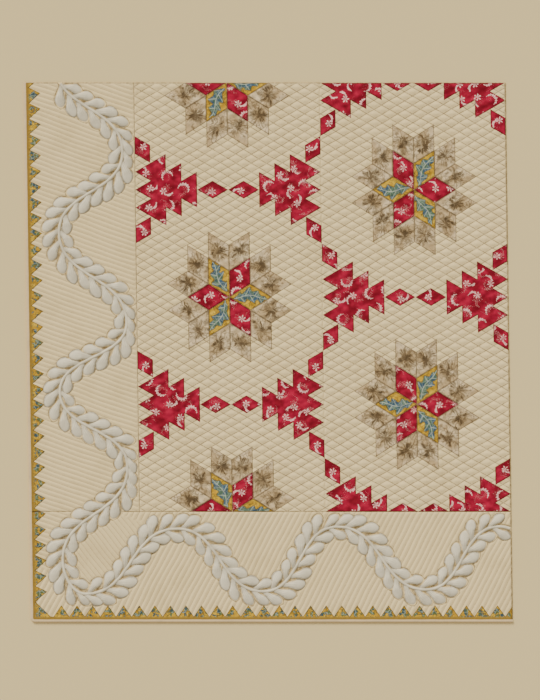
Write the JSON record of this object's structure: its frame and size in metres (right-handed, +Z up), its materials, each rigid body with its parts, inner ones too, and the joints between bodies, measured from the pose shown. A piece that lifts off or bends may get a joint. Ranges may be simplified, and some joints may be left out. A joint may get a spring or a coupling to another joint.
{
  "type": "quilt section",
  "caption": "Flat lower-left corner section of an applique quilt: printed stars, triangle clusters and chains, toothed edging, stuffed feather vine, and a foot border that folds over.",
  "frame": {"origin": "middle of the section's outline, on the plane it lies on", "axes": "+X along the foot edge to the right, +Y from the foot edge to the top edge, +Z up out of the face"},
  "size_m": [1.7376, 1.916, 0.016],
  "materials": {
    "backing_field": "plain cream cotton",
    "backing_foot": "plain cream cotton",
    "binding_foot": "cream tape",
    "binding_left": "cream tape",
    "border_cloth_foot": "cream cotton, closely hand quilted",
    "border_cloth_left": "cream cotton, closely hand quilted",
    "chain_c1_01": "crimson printed cotton with pink and white sprigs",
    "chain_c1_02": "crimson printed cotton with pink and white sprigs",
    "chain_c1_03": "crimson printed cotton with pink and white sprigs",
    "chain_c1_04": "crimson printed cotton with pink and white sprigs",
    "chain_c1_05": "crimson printed cotton with pink and white sprigs",
    "chain_c1_06": "crimson printed cotton with pink and white sprigs",
    "chain_c1_07": "crimson printed cotton with pink and white sprigs",
    "chain_c1_08": "crimson printed cotton with pink and white sprigs",
    "chain_c1_09": "crimson printed cotton with pink and white sprigs",
    "chain_c1_10": "crimson printed cotton with pink and white sprigs",
    "chain_c1_11": "crimson printed cotton with pink and white sprigs",
    "chain_c1_12": "crimson printed cotton with pink and white sprigs",
    "chain_c2_01": "crimson printed cotton with pink and white sprigs",
    "chain_c2_02": "crimson printed cotton with pink and white sprigs",
    "chain_c2_03": "crimson printed cotton with pink and white sprigs",
    "chain_c2_04": "crimson printed cotton with pink and white sprigs",
    "chain_c2_05": "crimson printed cotton with pink and white sprigs",
    "chain_c2_06": "crimson printed cotton with pink and white sprigs",
    "chain_c2_07": "crimson printed cotton with pink and white sprigs",
    "chain_c2_08": "crimson printed cotton with pink and white sprigs",
    "chain_c2_09": "crimson printed cotton with pink and white sprigs",
    "chain_c2_10": "crimson printed cotton with pink and white sprigs",
    "chain_c2_11": "crimson printed cotton with pink and white sprigs",
    "chain_c2_12": "crimson printed cotton with pink and white sprigs",
    "chain_c2_13": "crimson printed cotton with pink and white sprigs",
    "chain_c2_14": "crimson printed cotton with pink and white sprigs",
    "cluster_c1_r1_l": "crimson printed cotton with pink and white sprigs",
    "cluster_c1_r1_r": "crimson printed cotton with pink and white sprigs",
    "cluster_c1_r2_l": "crimson printed cotton with pink and white sprigs",
    "cluster_c1_r2_r": "crimson printed cotton with pink and white sprigs",
    "cluster_c2_r1_l": "crimson printed cotton with pink and white sprigs",
    "cluster_c2_r1_r": "crimson printed cotton with pink and white sprigs",
    "cluster_c2_r2_l": "crimson printed cotton with pink and white sprigs",
    "cluster_c2_r2_r": "crimson printed cotton with pink and white sprigs",
    "cluster_c2_r3_l": "crimson printed cotton with pink and white sprigs",
    "cluster_c2_r3_r": "crimson printed cotton with pink and white sprigs",
    "feather_vine_foot": "white cotton, stuffed",
    "feather_vine_left": "white cotton, stuffed",
    "ground_column_1": "cream cotton, hand quilted",
    "ground_column_2": "cream cotton, hand quilted",
    "sawtooth_foot": "ochre chintz with blue-green leaves",
    "sawtooth_left": "ochre chintz with blue-green leaves",
    "star_c1_r1_core": "crimson prints and ochre chintz by turns",
    "star_c1_r1_ring": "tan foliage print with dark brown drawing",
    "star_c1_r2_core": "crimson prints and ochre chintz by turns",
    "star_c1_r2_ring": "tan foliage print with dark brown drawing",
    "star_c1_r3_core": "crimson prints and ochre chintz by turns",
    "star_c1_r3_ring": "tan foliage print with dark brown drawing",
    "star_c2_r1_core": "crimson prints and ochre chintz by turns",
    "star_c2_r1_ring": "tan foliage print with dark brown drawing",
    "star_c2_r2_core": "crimson prints and ochre chintz by turns",
    "star_c2_r2_ring": "tan foliage print with dark brown drawing",
    "wadding_field": "soft off-white wadding",
    "wadding_foot": "soft off-white wadding"
  },
  "bodies": {
    "field": {"backing_field": "backing_field", "binding_left": "binding_left", "border_cloth_left": "border_cloth_left", "chain_c1_01": "chain_c1_01", "chain_c1_02": "chain_c1_02", "chain_c1_03": "chain_c1_03", "chain_c1_04": "chain_c1_04", "chain_c1_05": "chain_c1_05", "chain_c1_06": "chain_c1_06", "chain_c1_07": "chain_c1_07", "chain_c1_08": "chain_c1_08", "chain_c1_09": "chain_c1_09", "chain_c1_10": "chain_c1_10", "chain_c1_11": "chain_c1_11", "chain_c1_12": "chain_c1_12", "chain_c2_01": "chain_c2_01", "chain_c2_02": "chain_c2_02", "chain_c2_03": "chain_c2_03", "chain_c2_04": "chain_c2_04", "chain_c2_05": "chain_c2_05", "chain_c2_06": "chain_c2_06", "chain_c2_07": "chain_c2_07", "chain_c2_08": "chain_c2_08", "chain_c2_09": "chain_c2_09", "chain_c2_10": "chain_c2_10", "chain_c2_11": "chain_c2_11", "chain_c2_12": "chain_c2_12", "chain_c2_13": "chain_c2_13", "chain_c2_14": "chain_c2_14", "cluster_c1_r1_l": "cluster_c1_r1_l", "cluster_c1_r1_r": "cluster_c1_r1_r", "cluster_c1_r2_l": "cluster_c1_r2_l", "cluster_c1_r2_r": "cluster_c1_r2_r", "cluster_c2_r1_l": "cluster_c2_r1_l", "cluster_c2_r1_r": "cluster_c2_r1_r", "cluster_c2_r2_l": "cluster_c2_r2_l", "cluster_c2_r2_r": "cluster_c2_r2_r", "cluster_c2_r3_l": "cluster_c2_r3_l", "cluster_c2_r3_r": "cluster_c2_r3_r", "feather_vine_left": "feather_vine_left", "ground_column_1": "ground_column_1", "ground_column_2": "ground_column_2", "sawtooth_left": "sawtooth_left", "star_c1_r1_core": "star_c1_r1_core", "star_c1_r1_ring": "star_c1_r1_ring", "star_c1_r2_core": "star_c1_r2_core", "star_c1_r2_ring": "star_c1_r2_ring", "star_c1_r3_core": "star_c1_r3_core", "star_c1_r3_ring": "star_c1_r3_ring", "star_c2_r1_core": "star_c2_r1_core", "star_c2_r1_ring": "star_c2_r1_ring", "star_c2_r2_core": "star_c2_r2_core", "star_c2_r2_ring": "star_c2_r2_ring", "wadding_field": "wadding_field"},
    "foot_border": {"backing_foot": "backing_foot", "binding_foot": "binding_foot", "border_cloth_foot": "border_cloth_foot", "feather_vine_foot": "feather_vine_foot", "sawtooth_foot": "sawtooth_foot", "wadding_foot": "wadding_foot"}
  },
  "joints": [
    {"name": "foot_fold", "type": "hinge", "parent": "field", "child": "foot_border", "pos_m": [0, -0.566, 0.018], "axis": [-1, 0, 0], "range_deg": [0, 180]}
  ]
}
